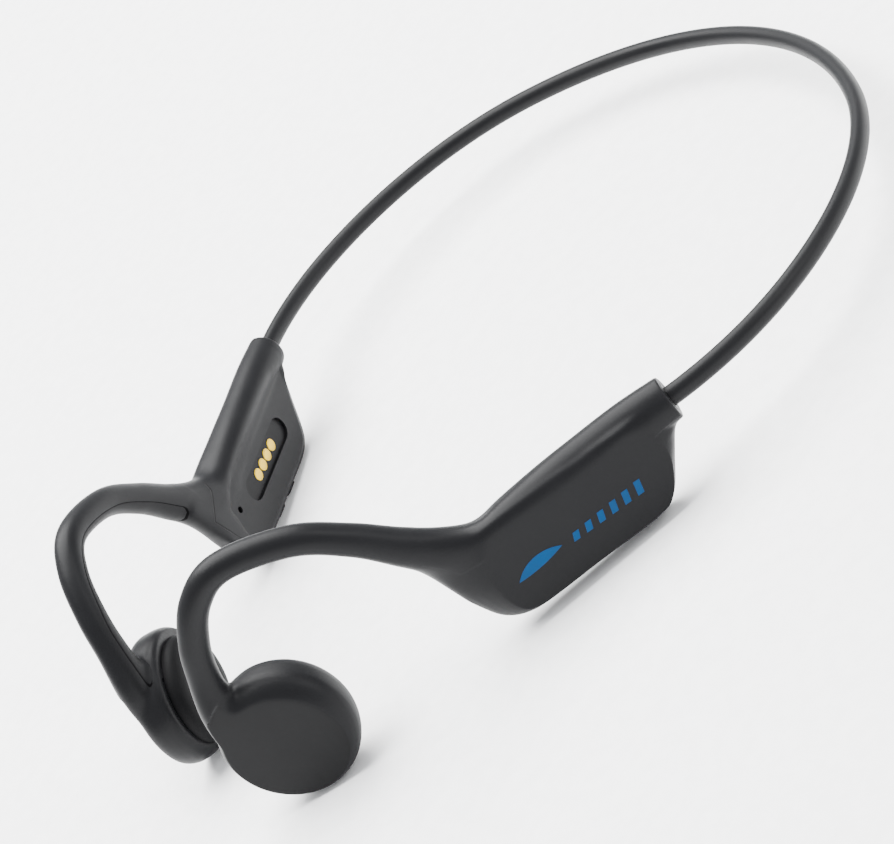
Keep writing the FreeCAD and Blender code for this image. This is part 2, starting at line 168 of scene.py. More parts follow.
def finish(name, colour, rough, metal=0.0, vary=0.10, roughVary=0.06, cloud=90.0, grain=5200.0,
           grainDepth=0.000012, specular=0.5, sheen=0.0, coat=0.0, brushed=0.0, seams=None):
    made = bpy.data.materials.new(name)
    made.use_nodes = True
    tree = made.node_tree
    shader = tree.nodes["Principled BSDF"]
    place = tree.nodes.new("ShaderNodeTexCoord").outputs["Object"]
    broad, fine = noise(tree, place, cloud, 4.0), noise(tree, place, grain, 2.0)
    if brushed:
        stretch = tree.nodes.new("ShaderNodeMapping")
        stretch.inputs["Scale"].default_value = (1.0, 1.0, brushed)
        tree.links.new(place, stretch.inputs["Vector"])
        fine = noise(tree, stretch.outputs[0], grain, 2.0)
    low = tuple(c * (1 - vary) for c in colour) + (1,)
    high = tuple(c * (1 + vary) for c in colour) + (1,)
    tone = mixColour(tree, between(tree, broad, 0.0, 1.0), low, high)
    speck = mixColour(tree, between(tree, fine, 0.0, 0.25), tone, tuple(c * 1.25 for c in colour) + (1,))
    height, base = fine, speck
    if seams:
        groove = seamGroove(tree, seams)
        # darkening the colour along the seams paints the shade inside the fine grooves; the bump sinks them as well
        base = mixColour(tree, groove, speck, tuple(c * 0.3 for c in colour) + (1,))
        height = calc(tree, "SUBTRACT", fine, calc(tree, "MULTIPLY", groove, 6.0))
    tree.links.new(base, shader.inputs["Base Color"])
    tree.links.new(calc(tree, "ADD", between(tree, broad, -roughVary, roughVary),
                        between(tree, fine, rough - 0.02, rough + 0.03)), shader.inputs["Roughness"])
    bump = tree.nodes.new("ShaderNodeBump")
    bump.inputs["Strength"].default_value = 1.0
    bump.inputs["Distance"].default_value = grainDepth
    tree.links.new(height, bump.inputs["Height"])
    tree.links.new(bump.outputs[0], shader.inputs["Normal"])
    shader.inputs["Metallic"].default_value = metal
    shader.inputs["Specular IOR Level"].default_value = specular
    shader.inputs["Sheen Weight"].default_value = sheen
    shader.inputs["Sheen Roughness"].default_value = 0.6
    shader.inputs["Coat Weight"].default_value = coat
    shader.inputs["Coat Roughness"].default_value = 0.25
    return made


# Fine moulded seams of the inner face, as lines in the side plane (x forward, z up, millimetres); the colour is
# darkened along them as painted shade in the grooves
seamLines = {"runs": [((38.2, 2.4), (38.9, 1.2)), ((38.9, 1.2), (43.4, -2.0)), ((43.4, -2.0), (41.6, -7.8)),
                      ((41.6, -7.8), (40.2, -12.0))],
             "halfWidth": 0.09, "soft": 0.06}


def seamGroove(tree, seams):
    plan = tree.nodes.new("ShaderNodeUVMap")
    plan.uv_map = "plan"
    split = tree.nodes.new("ShaderNodeSeparateXYZ")
    tree.links.new(plan.outputs[0], split.inputs[0])
    x, z = (calc(tree, "MULTIPLY", split.outputs[i], 100.0) for i in (0, 1))
    nearest = None
    for (ax, az), (bx, bz) in seams["runs"]:
        dx, dz = bx - ax, bz - az
        px, pz = calc(tree, "SUBTRACT", x, ax), calc(tree, "SUBTRACT", z, az)
        along = calc(tree, "ADD", calc(tree, "MULTIPLY", px, dx), calc(tree, "MULTIPLY", pz, dz))
        share = calc(tree, "DIVIDE", along, dx * dx + dz * dz, clamp=True)
        ex = calc(tree, "SUBTRACT", px, calc(tree, "MULTIPLY", share, dx))
        ez = calc(tree, "SUBTRACT", pz, calc(tree, "MULTIPLY", share, dz))
        gap = calc(tree, "SQRT", calc(tree, "ADD", calc(tree, "MULTIPLY", ex, ex), calc(tree, "MULTIPLY", ez, ez)))
        nearest = gap if nearest is None else calc(tree, "MINIMUM", nearest, gap)
    line = tree.nodes.new("ShaderNodeMapRange")
    line.inputs["From Min"].default_value = seams["halfWidth"] + seams["soft"]
    line.inputs["From Max"].default_value = seams["halfWidth"]
    tree.links.new(nearest, line.inputs["Value"])
    inward = tree.nodes.new("ShaderNodeAttribute")
    inward.attribute_name = "inward"
    return calc(tree, "MULTIPLY", line.outputs[0], calc(tree, "GREATER_THAN", inward.outputs["Fac"], 0.05))


charcoal = (0.0054, 0.0055, 0.0062)
materials = {
    "skin": finish("soft_touch_charcoal", charcoal, 0.43, specular=0.10, seams=seamLines),
    "band": finish("silicone_band", (0.0052, 0.0053, 0.0059), 0.42, specular=0.11, cloud=60.0),
    # the cap is the same charcoal as the skin; its base colour is set a little darker as painted shade on the
    # transducer's facet
    "cap": finish("cap_matte", (0.0048, 0.0048, 0.0053), 0.46, specular=0.09, grain=6500.0, grainDepth=0.000008,
                  vary=0.06),
    "pad": finish("pad_silicone", (0.0030, 0.0030, 0.0034), 0.58, specular=0.07, grain=3000.0),
    "strip": finish("strip_silicone", (0.0052, 0.0053, 0.0059), 0.47, specular=0.09),
    "carrier": finish("recess_plastic", (0.0044, 0.0045, 0.0050), 0.42, specular=0.08, grain=4000.0),
    "gold": finish("gold_plate", (0.50, 0.335, 0.035), 0.34, metal=1.0, vary=0.05, cloud=900.0, grain=9000.0,
                   grainDepth=0.000003),
    "steel": finish("spring_steel", (0.55, 0.56, 0.58), 0.28, metal=1.0, brushed=0.05, grain=7000.0),
    "nickel": finish("magnet_nickel", (0.62, 0.60, 0.57), 0.22, metal=1.0, cloud=300.0),
    "copper": finish("copper_winding", (0.78, 0.34, 0.16), 0.33, metal=1.0, grain=8000.0, grainDepth=0.00003),
    "cable": finish("cable_jacket", (0.05, 0.05, 0.055), 0.5),
    "board": finish("board_lacquer", (0.012, 0.09, 0.035), 0.34, coat=0.3, grain=2600.0, vary=0.18),
    "chip": finish("chip_epoxy", (0.018, 0.018, 0.02), 0.5, grain=6000.0),
    "shield": finish("shield_tin", (0.62, 0.62, 0.60), 0.36, metal=1.0, brushed=0.1),
    "foil": finish("cell_foil", (0.66, 0.66, 0.68), 0.32, metal=0.9, cloud=260.0, grain=1500.0, grainDepth=0.00004),
    # the same near-black also colours the strip's gap ribbon, where it is painted shadow
    "seal": finish("seal_rubber", (0.0010, 0.0010, 0.0012), 0.66, specular=0.03),
    "button": finish("button_plastic", (0.0046, 0.0047, 0.0052), 0.4, specular=0.10, grain=4500.0),
    "lens": finish("lens_smoked", (0.09, 0.10, 0.12), 0.12, coat=0.6, grainDepth=0.000002),
    "mesh": finish("woven_steel_mesh", (0.2, 0.2, 0.21), 0.4, metal=0.8, grain=9000.0, grainDepth=0.00004),
    "blue": finish("accent_ink", (0.0002, 0.036, 0.115), 0.4, specular=0.08, vary=0.12, cloud=220.0, grain=6000.0),
}
print("stage: materials", len(materials))


def meshObject(name, points, faces, material, smooth=True):
    mesh = bpy.data.meshes.new(name)
    mesh.from_pydata([tuple(p) for p in points], [], [tuple(f) for f in faces])
    return keepObject(name, mesh, material, smooth)


def keepObject(name, mesh, material, smooth=True):
    edit = bmesh.new()
    edit.from_mesh(mesh)
    bmesh.ops.recalc_face_normals(edit, faces=edit.faces)
    edit.to_mesh(mesh)
    edit.free()
    mesh.polygons.foreach_set("use_smooth", [smooth] * len(mesh.polygons))
    mesh.materials.clear()
    mesh.materials.append(material)
    made = bpy.data.objects.new(name, mesh)
    bpy.context.scene.collection.objects.link(made)
    return made


def ringFaces(rings, count, closed=False):
    faces = []
    for i in range(rings if closed else rings - 1):
        a, b = i * count, (i + 1) % rings * count
        faces += [(a + j, a + (j + 1) % count, b + (j + 1) % count, b + j) for j in range(count)]
    if not closed:
        faces.append(tuple(range(count - 1, -1, -1)))
        faces.append(tuple(range((rings - 1) * count, rings * count)))
    return faces


def lathe(profile, count=96):
    # (radius, level) pairs about the third axis; a radius of nothing ends in a pole
    points, faces, rows = [], [], []
    for radius, height in profile:
        if radius < 1e-6:
            rows.append([len(points)])
            points.append((0.0, 0.0, height))
            continue
        rows.append(list(range(len(points), len(points) + count)))
        points += [(radius * math.cos(2 * math.pi * j / count), radius * math.sin(2 * math.pi * j / count), height)
                   for j in range(count)]
    for low, high in zip(rows, rows[1:]):
        for j in range(count):
            k = (j + 1) % count
            if len(low) == 1:
                faces.append((low[0], high[k], high[j]))
            elif len(high) == 1:
                faces.append((low[j], low[k], high[0]))
            else:
                faces.append((low[j], low[k], high[k], high[j]))
    return np.array(points), faces


def smoothCurve(rows, steps, closed=False):
    # a Catmull-Rom curve through the rows
    rows = np.asarray(rows, float)
    if closed:
        ring = np.vstack([rows[-1:], rows, rows[:2]])
    else:
        ring = np.vstack([2 * rows[:1] - rows[1:2], rows, 2 * rows[-1:] - rows[-2:-1]])
    made = []
    for i in range(1, len(ring) - 2):
        a, b, c, d = ring[i - 1:i + 3]
        for t in np.arange(steps) / steps:
            made.append(0.5 * (2 * b + (c - a) * t + (2 * a - 5 * b + 4 * c - d) * t * t
                               + (3 * b - a - 3 * c + d) * t ** 3))
    if not closed:
        made.append(rows[-1])
    return np.array(made)


def relax(points, edges, rounds):
    # each point moves to the middle of its neighbours, for its own number of rounds
    a, b = edges[:, 0], edges[:, 1]
    size = len(points)
    links = np.bincount(a, minlength=size) + np.bincount(b, minlength=size)
    for i in range(int(rounds.max())):
        middle = np.column_stack([np.bincount(a, points[b, k], size) + np.bincount(b, points[a, k], size)
                                  for k in range(3)]) / links[:, None]
        share = np.clip(rounds - i, 0, 1)[:, None] * 0.5
        points = points + (middle - points) * share
    return points


def softLimit(value, limit, radius):
    gap = value - limit
    return limit + (gap - np.sqrt(gap * gap + radius * radius)) / 2


def outside(polygon, points):
    # how far each point lies outside a closed polygon, and nothing inside it
    a, b = polygon, np.roll(polygon, -1, axis=0)
    ab = b - a
    best = np.full(len(points), 1e9)
    inside = np.zeros(len(points), bool)
    for p, q, d in zip(a, b, ab):
        t = np.clip(((points - p) @ d) / (d @ d), 0, 1)
        best = np.minimum(best, np.linalg.norm(points - p - t[:, None] * d, axis=1))
        crosses = (p[1] > points[:, 1]) != (q[1] > points[:, 1])
        with np.errstate(divide="ignore", invalid="ignore"):
            at = p[0] + (points[:, 1] - p[1]) / (q[1] - p[1]) * d[0]
        inside ^= crosses & (points[:, 0] < at)
    return np.where(inside, 0.0, best)


def coordinates(mesh):
    flat = np.zeros(len(mesh.vertices) * 3)
    mesh.vertices.foreach_get("co", flat)
    return flat.reshape(-1, 3)


arm = {
    "stations": [  # centre x y z, heading x z, half height, half width outwards, inwards, rise of the outer edge
        (0.0, 0.0, 0.1, 1.0, 0.0, 3.50, 3.2, 3.4, -0.55),
        (4.5, 0.0, 0.05, 1.0, 0.0, 3.80, 3.42, 3.75, -0.60),
        (9.0, 0.0, 0.0, 1.0, 0.0, 3.90, 3.45, 3.88, -0.60),
        (16.0, 0.0, -0.25, 1.0, -0.03, 3.88, 3.45, 3.88, -0.45),
        (22.0, 0.0, -0.50, 1.0, -0.05, 3.84, 3.42, 3.86, 0.10),
        (29.5, 0.0, -1.2, 1.0, -0.05, 3.86, 3.45, 3.80, 1.10),
        (33.6, 0.0, -2.0, 1.0, 0.05, 4.15, 3.45, 3.6, 1.80),
        (37.0, 0.0, -1.9, 1.0, 0.32, 4.75, 3.3, 3.4, 1.60),
        (41.2, 0.0, 1.3, 0.8, 0.6, 4.15, 3.0, 3.1, 0.7),
        (45.3, 0.0, 6.2, 0.71, 0.70, 3.10, 2.75, 2.75, 0.1),
        (50.2, 0.0, 12.0, 0.72, 0.69, 2.6, 2.5, 2.5, 0.0),
        (57.1, 0.0, 17.7, 0.84, 0.54, 2.46, 2.42, 2.42, 0.0),
        (67.7, -0.5, 20.8, 1.0, -0.05, 2.41, 2.42, 2.42, 0.0),
        (74.4, -1.3, 18.1, 0.76, -0.65, 2.44, 2.42, 2.42, 0.0),
        (79.3, -2.3, 12.1, 0.5, -0.87, 2.46, 2.45, 2.45, 0.0),
        (82.0, -2.9, 6.2, 0.36, -0.93, 2.6, 2.55, 2.55, 0.0),
        (83.5, -2.9, 0.4, 0.22, -0.97, 3.3, 3.1, 2.9, 0.0),
        (84.2, -2.3, -5.0, 0.06, -1.0, 3.2, 3.3, 2.8, 0.0),
        (83.6, -1.8, -10.5, -0.12, -1.0, 2.4, 2.6, 2.0, 0.0)],
    "fineness": 8, "around": 64, "voxel": 0.2, "evenRounds": 10,
    "silhouette": [(1.0, 1.0), (0.6, -3.0), (2.1, -4.5), (4.6, -7.8), (7.6, -12.0), (10.0, -14.1), (13.5, -14.9),
                   (23.0, -14.95), (33.0, -15.2), (37.4, -15.0), (40.5, -13.2), (42.5, -9.5), (44.0, -5.4),
                   (45.2, -1.7), (46.0, 1.4), (45.3, 3.2), (39.0, 1.7), (36.0, 0.4), (20.0, 1.0), (8.0, 1.2)],
    "facet": [(35.2, -1.25), (28.0, -1.05), (21.0, -0.85), (13.4, -0.2), (9.0, 0.5), (6.6, -0.6), (5.5, -1.9),
              (5.0, -4.0), (5.3, -6.6), (7.2, -10.2), (9.2, -12.3), (11.6, -13.1), (22.6, -13.5), (32.0, -13.9),
              (35.0, -13.6), (36.6, -12.6), (37.5, -10.2), (37.7, -7.0), (37.1, -4.4), (36.3, -2.3)],
    "innerEdge": [(1.0, 1.0), (2.4, -2.6), (4.4, -4.4), (7.4, -8.2), (10.3, -11.9), (12.2, -12.9), (16.0, -13.45),
                  (24.5, -13.6), (34.0, -13.7), (38.4, -13.3), (41.2, -11.4), (43.0, -8.4), (44.4, -5.0), (45.4, -1.7),
                  (46.0, 1.4), (45.3, 3.2), (39.0, 1.7), (36.0, 0.4), (20.0, 1.0), (8.0, 1.2)],
    "middle": (22.0, -6.6),
    # level y, share from the facet's outline out to the silhouette, share on to the inner edge, inset
    "levels": [(4.25, -0.20, 0.0, 0.0), (3.6, 0.0, 0.0, 0.0), (3.1, 0.22, 0.0, 0.0), (2.4, 0.48, 0.0, 0.0),
               (1.5, 0.76, 0.0, 0.0), (0.6, 0.95, 0.0, 0.0), (-0.2, 1.0, 0.0, 0.0), (-1.1, 1.0, 0.02, 0.0),
               (-1.6, 1.0, 0.3, 0.0), (-2.1, 1.0, 0.66, 0.0), (-2.6, 1.0, 1.0, 0.0), (-3.0, 1.0, 1.0, 0.45)],
    # places where the moulding flows: centre, radius, rounds of smoothing
    "softened": [((80.6, -2.4, 0.6), 3.6, 115), ((82.5, -1.0, -5.0), 4.5, 150), ((43.0, 0.5, -1.0), 4.5, 180),
                 ((45.0, -1.5, -1.5), 3.6, 110), ((36.5, -1.0, -1.0), 4.0, 40), ((2.5, 0.0, -4.5), 2.2, 30)],
    # the outer facet, and the slope that climbs from it to the ridge
    "podEnd": 44, "facetFrom": 2.5, "facetLevel": 3.57, "facetSoft": 0.10,
    "rampSlope": 0.36, "rampSoft": 0.6, "rampFloor": -2.2, "rampEnds": (6.0, 34.0), "rampFade": 0.35,
    # the inner face's flat panel, and how fast the moulding falls away round it
    "innerFrom": -1.8, "innerLevel": -3.0, "innerFall": 0.85, "innerLift": 0.02, "innerSoft": 0.8,
    # the ridge's foot is smoothed over this length, above this height
    "valleyRounds": 24, "valleyEnds": (1.5, 42), "valleyFloor": -1.6,
    "innerPanel": [(4.0, -2.2), (7.5, -1.0), (12.0, -0.8), (32.0, -1.2), (35.5, -2.4), (38.0, -4.0), (40.0, -14.0),
                   (10.0, -14.0)],
    "hookSeam": (41.2, 0.0, 0.0), "hookSeamNormal": (0.584, 0.0, 0.812),
}
puck = {
    "centre": (77.5, -2.8, -8.8), "axis": (0.193, 0.976, 0.10),
    "profile": [(0, -2.5), (9.8, -2.5), (10.3, -2.3), (10.9, -1.4), (11.15, -0.3), (11.2, 0.9), (11.1, 1.9),
                (10.75, 2.8), (10.15, 3.6), (9.35, 4.25), (8.3, 4.75), (7.0, 5.1), (5.0, 5.4), (0, 5.5)],
    "facetHeight": 3.95, "facetLean": 0.115, "leanTo": (-0.6, 0.8), "facetSoft": 0.16, "capCut": 0.07,
    "facetReach": 12.0, "capReach": 11.6, "facetAbove": 1.0,
    # the inner half stands a little higher, from this level down over this length
    "innerRise": 0.45, "riseFrom": 0.9, "riseLength": 3.4, "around": 128,
}


def unit(v):
    v = np.asarray(v, float)
    return v / np.linalg.norm(v)


discAxis = unit(puck["axis"])
discUp = unit(np.array([0, 0, 1.0]) - discAxis[2] * discAxis)
discForward = np.cross(discAxis, discUp)
discFrame = np.array([discForward, discUp, discAxis])


def toDisc(points):
    return (points - np.array(puck["centre"])) @ discFrame.T


def fromDisc(points):
    return np.asarray(points) @ discFrame + np.array(puck["centre"])


def armRings():
    line = smoothCurve(arm["stations"], arm["fineness"])
    angles = 2 * np.pi * np.arange(arm["around"]) / arm["around"]
    rings = []
    for x, y, z, hx, hz, half, outer, inner, lift in line:
        dx, dz = np.array([hx, hz]) / math.hypot(hx, hz)
        wide = np.where(np.sin(angles) > 0, outer, inner)
        up = half * np.cos(angles) + lift * np.clip(np.sin(angles), 0, 1)
        rings.append(np.column_stack([x - dz * up, y + wide * np.sin(angles), z + dx * up]))
    return line, rings


def paddleMesh():
    middle = np.array(arm["middle"])
    reaches, angles = [], np.linspace(-np.pi, np.pi, 360, endpoint=False)
    for outline in (arm["facet"], arm["silhouette"], arm["innerEdge"]):
        offsets = smoothCurve(outline, 12, closed=True) - middle
        around = np.arctan2(offsets[:, 1], offsets[:, 0])
        order = np.argsort(around)
        reaches.append(np.interp(angles, around[order], np.linalg.norm(offsets, axis=1)[order], period=2 * np.pi))
    rings = []
    for level, share, inner, inset in arm["levels"]:
        reach = reaches[0] * (1 - share) + reaches[1] * (share - inner) + reaches[2] * inner - inset
        rings.append(np.column_stack([middle[0] + reach * np.cos(angles), np.full(len(angles), level),
                                      middle[1] + reach * np.sin(angles)]))
    return np.vstack(rings), ringFaces(len(rings), len(angles))


def joinedSkin():
    line, rings = armRings()
    parts = [(np.vstack(rings), ringFaces(len(rings), arm["around"])), paddleMesh()]
    points, faces = lathe(puck["profile"], puck["around"])
    points[:, 1] += puck["innerRise"] * np.clip((puck["riseFrom"] - points[:, 2]) / puck["riseLength"], 0, 1)
    parts.append((fromDisc(points), faces))
    edit = bmesh.new()
    for points, faces in parts:
        made = [edit.verts.new(p) for p in points]
        new = [edit.faces.new([made[i] for i in f]) for f in faces]
        bmesh.ops.recalc_face_normals(edit, faces=new)
    mesh = bpy.data.meshes.new("raw")
    edit.to_mesh(mesh)
    edit.free()
    raw = bpy.data.objects.new("raw", mesh)
    bpy.context.scene.collection.objects.link(raw)
    remesh = raw.modifiers.new("even", "REMESH")
    remesh.mode, remesh.voxel_size, remesh.adaptivity = "VOXEL", arm["voxel"], 0.0
    bpy.context.view_layer.update()
    even = bpy.data.meshes.new_from_object(raw.evaluated_get(bpy.context.evaluated_depsgraph_get()))
    bpy.data.objects.remove(raw)
    bpy.data.meshes.remove(mesh)
    return line, even


def nearness(points, centre, radius):
    gap = np.linalg.norm(points - np.array(centre), axis=1) / radius
    return np.clip(1.5 - gap, 0, 1)


def shapedSkin():
    line, mesh = joinedSkin()
    points = coordinates(mesh)
    edges = np.zeros(len(mesh.edges) * 2, int)
    mesh.edges.foreach_get("vertices", edges)
    edges = edges.reshape(-1, 2)
    rounds = np.full(len(points), float(arm["evenRounds"]))
    for centre, radius, extra in arm["softened"]:
        rounds += extra * nearness(points, centre, radius)
    points = relax(points, edges, rounds)

    x, y, z = points.T
    facet = smoothCurve(arm["facet"], 4, closed=True)
    high = (y > arm["facetFrom"]) & (x < arm["podEnd"])
    rise = outside(facet, points[high][:, [0, 2]])
    above = high & (z > arm["rampFloor"])
    past = np.clip(arm["rampEnds"][0] - x, 0, None) + np.clip(x - arm["rampEnds"][1], 0, None)
    ramp = arm["facetLevel"] - arm["rampSlope"] * rise[above[high]] - arm["rampFade"] * past[above]
    y[above] = -softLimit(-y[above], -ramp, arm["rampSoft"])
    y[high] = softLimit(y[high], arm["facetLevel"], arm["facetSoft"])
    low = (y < arm["innerFrom"]) & (x < arm["podEnd"])
    drop = outside(np.array(arm["innerPanel"]), points[low][:, [0, 2]])
    limit = -arm["innerLevel"] + arm["innerFall"] * drop
    y[low] = -softLimit(-y[low] + arm["innerLift"], limit + arm["innerSoft"] ** 2 / 8, arm["innerSoft"])
    points = np.column_stack([x, y, z])
    start, end = arm["valleyEnds"]
    foot = (x > start) & (x < end) & (z > arm["valleyFloor"])
    points = relax(points, edges, arm["valleyRounds"] * foot.astype(float))

    d = toDisc(points)
    lean = np.array(puck["leanTo"]) * puck["facetLean"]
    plane = puck["facetHeight"] + d[:, :2] @ lean
    near = (np.hypot(d[:, 0], d[:, 1]) < puck["facetReach"]) & (d[:, 2] > puck["facetAbove"])
    d[near, 2] = softLimit(d[near, 2], plane[near], puck["facetSoft"])
    points[near] = fromDisc(d[near])
    mesh.vertices.foreach_set("co", points.ravel())
    mesh.update()
    return line, mesh


def closeCut(edit):
    rim = [e for e in edit.edges if e.is_boundary]
    bmesh.ops.holes_fill(edit, edges=rim, sides=0)
    for e in rim:
        e.smooth = False


def partOf(mesh, keep):
    edit = bmesh.new()
    edit.from_mesh(mesh)
    keep(edit)
    closeCut(edit)
    made = bpy.data.meshes.new("part")
    edit.to_mesh(made)
    edit.free()
    return made


def planeKeep(point, normal, outer):
    def keep(edit):
        bmesh.ops.bisect_plane(edit, geom=edit.verts[:] + edit.edges[:] + edit.faces[:], dist=1e-4,
                               plane_co=point, plane_no=normal, clear_outer=not outer, clear_inner=outer)
    return keep


def capKeep(wanted):
    lean = np.array(puck["leanTo"]) * puck["facetLean"]
    top = fromDisc([(0.0, 0.0, puck["facetHeight"] - puck["capCut"])])[0]
    normal = np.array([-lean[0], -lean[1], 1.0]) @ discFrame

    def keep(edit):
        def inReach(face):
            d = toDisc(np.array(face.calc_center_median())[None, :])[0]
            return d[2] > puck["facetAbove"] and math.hypot(d[0], d[1]) < puck["capReach"]
        faces = [f for f in edit.faces if inReach(f)]
        reach = {v for f in faces for v in f.verts} | {e for f in faces for e in f.edges} | set(faces)
        bmesh.ops.bisect_plane(edit, geom=list(reach), dist=1e-4, plane_co=top, plane_no=normal)
        above = {f for f in edit.faces if inReach(f)
                 and (np.array(f.calc_center_median()) - top) @ normal > 0}
        gone = [f for f in edit.faces if (f in above) != wanted]
        bmesh.ops.delete(edit, geom=gone, context="FACES")
    return keep


def planned(mesh):
    # keeps each point's place in the side plane, for the seam lines
    points = coordinates(mesh)
    loops = np.zeros(len(mesh.loops), int)
    mesh.loops.foreach_get("vertex_index", loops)
    layer = mesh.uv_layers.new(name="plan")
    layer.data.foreach_set("uv", (points[loops][:, [0, 2]] / 100.0).ravel())
    inward = mesh.attributes.new("inward", "FLOAT", "POINT")
    inward.data.foreach_set("value", (-points[:, 1] / 10.0).astype(np.float32))


def placeSide(mesh, side):
    mesh.vertices.foreach_set("co", fromSide(coordinates(mesh), side).ravel())
    mesh.update()


armLine, skinMesh = shapedSkin()
skinTree = BVHTree.FromPolygons([tuple(p) for p in coordinates(skinMesh)],
                                [tuple(p.vertices) for p in skinMesh.polygons])
podMesh = partOf(skinMesh, planeKeep(arm["hookSeam"], arm["hookSeamNormal"], False))
hookWhole = partOf(skinMesh, planeKeep(arm["hookSeam"], arm["hookSeamNormal"], True))
hookMesh = partOf(hookWhole, capKeep(False))
capMesh = partOf(hookWhole, capKeep(True))
print("stage: skin", len(skinMesh.vertices), "points, cap", len(capMesh.vertices))


# Openings in the right pod. A cutter starts clear of the skin and ends at the opening's floor
recess = {"x": 22.4, "z": -6.93, "length": 19.5, "width": 4.4, "depth": 0.94, "face": -3.0, "clear": 1.0}
microphone = {"x": 36.4, "z": -5.9, "radius": 0.6, "depth": 1.2}
# each button has an opening through the skin and a wider pocket behind it
buttons = {"xs": (20.5, 26.5, 32.5), "y": 0.5, "length": 5.04, "width": 2.84, "slot": (-17.0, -13.9),
           "pocket": (-14.0, -12.6), "pocketWider": 1.0}
lensHole = {"x": 15.4, "y": 0.5, "radius": 0.62, "levels": (-17.0, -14.2)}


def slotLoop(length, width, count=16):
    half, r = (length - width) / 2, width / 2
    ends = [(half * sx, a0) for sx, a0 in ((1, -90), (-1, 90))]
    return [(cx + r * math.cos(math.radians(a0 + 180 * i / count)), r * math.sin(math.radians(a0 + 180 * i / count)))
            for cx, a0 in ends for i in range(count + 1)]


def roundLoop(radius, count=32):
    return [(radius * math.cos(a), radius * math.sin(a)) for a in np.linspace(0, 2 * np.pi, count, endpoint=False)]


def slotSolid(loop, low, high, place):
    rings = [[place(u, v, level) for u, v in loop] for level in (low, high)]
    return [p for ring in rings for p in ring], ringFaces(2, len(loop))


def cutOut(mesh, solids):
    body = keepObject("body", mesh, materials["skin"])
    tool = bpy.data.meshes.new("tool")
    edit = bmesh.new()
    for points, faces in solids:
        made = [edit.verts.new(p) for p in points]
        bmesh.ops.recalc_face_normals(edit, faces=[edit.faces.new([made[i] for i in f]) for f in faces])
    edit.to_mesh(tool)
    edit.free()
    cutter = bpy.data.objects.new("cutter", tool)
    bpy.context.scene.collection.objects.link(cutter)
    cut = body.modifiers.new("cut", "BOOLEAN")
    cut.operation, cut.solver, cut.object = "DIFFERENCE", "EXACT", cutter
    bpy.context.view_layer.update()
    made = bpy.data.meshes.new_from_object(body.evaluated_get(bpy.context.evaluated_depsgraph_get()))
    bpy.data.objects.remove(body)
    bpy.data.objects.remove(cutter)
    edit = bmesh.new()
    edit.from_mesh(made)
    for e in edit.edges:
        if len(e.link_faces) == 2 and e.calc_face_angle(0.0) > sharpAngle:
            e.smooth = False
    edit.to_mesh(made)
    edit.free()
    return made


face = recess["face"]
openings = [slotSolid(slotLoop(recess["length"], recess["width"]), face - recess["clear"], face + recess["depth"],
                      lambda u, v, h: (recess["x"] + u, h, recess["z"] + v)),
            slotSolid(roundLoop(microphone["radius"]), face - recess["clear"], face + microphone["depth"],
                      lambda u, v, h: (microphone["x"] + u, h, microphone["z"] + v))]
for x in buttons["xs"]:
    for wider, levels in ((0.0, buttons["slot"]), (buttons["pocketWider"], buttons["pocket"])):
        openings.append(slotSolid(slotLoop(buttons["length"] + wider, buttons["width"] + wider), *levels,
                                  lambda u, v, h, x=x: (x + u, buttons["y"] + v, h)))
openings.append(slotSolid(roundLoop(lensHole["radius"]), *lensHole["levels"],
                          lambda u, v, h: (lensHole["x"] + u, lensHole["y"] + v, h)))
rightPodMesh = cutOut(podMesh.copy(), openings)
print("stage: openings", len(rightPodMesh.vertices))


pad = {"profile": [(0, -2.4), (9.15, -2.4), (9.2, -2.6), (9.2, -3.3), (9.12, -3.75), (8.85, -4.25), (8.35, -4.7),
                   (7.6, -5.05), (6.8, -5.24), (6.0, -5.3), (0, -5.3)]}
# first, last and the turn are counted in the arm's stations; the angles are round the hook's section
strip = {"first": 8.75, "last": 16.3, "angles": (208.0, 250.0), "turnFrom": 11.0, "turnTo": 14.5, "halfAngle": 34.0,
         "proud": 0.045, "sunk": 0.12, "rows": 170, "across": 16, "roundness": 1.6,
         "gapAngle": 2.6, "gapRun": 0.08, "gapProud": 0.02}


def stripMesh(wider, longer, proud):
    # a flush ribbon that follows the underside of the hook on its inner flank, with round ends
    count = strip["rows"]
    where = np.linspace(strip["first"] - longer, strip["last"] + longer, count) * arm["fineness"]
    rows = np.array([[np.interp(w, np.arange(len(armLine)), armLine[:, k]) for k in range(8)] for w in where])
    length = np.concatenate([[0], np.cumsum(np.linalg.norm(np.diff(rows[:, :3], axis=0), axis=1))])
    ends = np.minimum(length, length[-1] - length) / strip["roundness"]
    widths = np.sqrt(np.clip(1 - (1 - np.clip(ends, 0, 1)) ** 2, 0.0004, 1))
    top, low = [], []
    turns = np.interp(where / arm["fineness"], (strip["turnFrom"], strip["turnTo"]), strip["angles"])
    for (x, y, z, hx, hz, halfIn, outer, inner), share, middle in zip(rows, widths, turns):
        dx, dz = np.array([hx, hz]) / math.hypot(hx, hz)
        for j in range(strip["across"] + 1):
            s = 2 * j / strip["across"] - 1
            a = math.radians(middle + (strip["halfAngle"] + wider) * share * s)
            p = Vector((x - dz * halfIn * math.cos(a), y + inner * math.sin(a), z + dx * halfIn * math.cos(a)))
            hit, normal = skinTree.find_nearest(p)[:2]
            edge = 1.0 if abs(s) < 0.99 and share > 0.03 else -1.0
            top.append(hit + normal * proud * edge)
            low.append(hit - normal * strip["sunk"])
    width = strip["across"] + 1
    size = count * width
    faces = []
    for i in range(count - 1):
        for j in range(width - 1):
            a = i * width + j
            faces.append((a, a + 1, a + width + 1, a + width))
            faces.append((size + a, size + a + width, size + a + width + 1, size + a + 1))
    rim = (list(range(width)) + [i * width + width - 1 for i in range(1, count)]
           + [(count - 1) * width + j for j in range(width - 2, -1, -1)]
           + [i * width for i in range(count - 2, 0, -1)])
    faces += [(a, size + a, size + b, b) for a, b in zip(rim, rim[1:] + rim[:1])]
    return top + low, faces


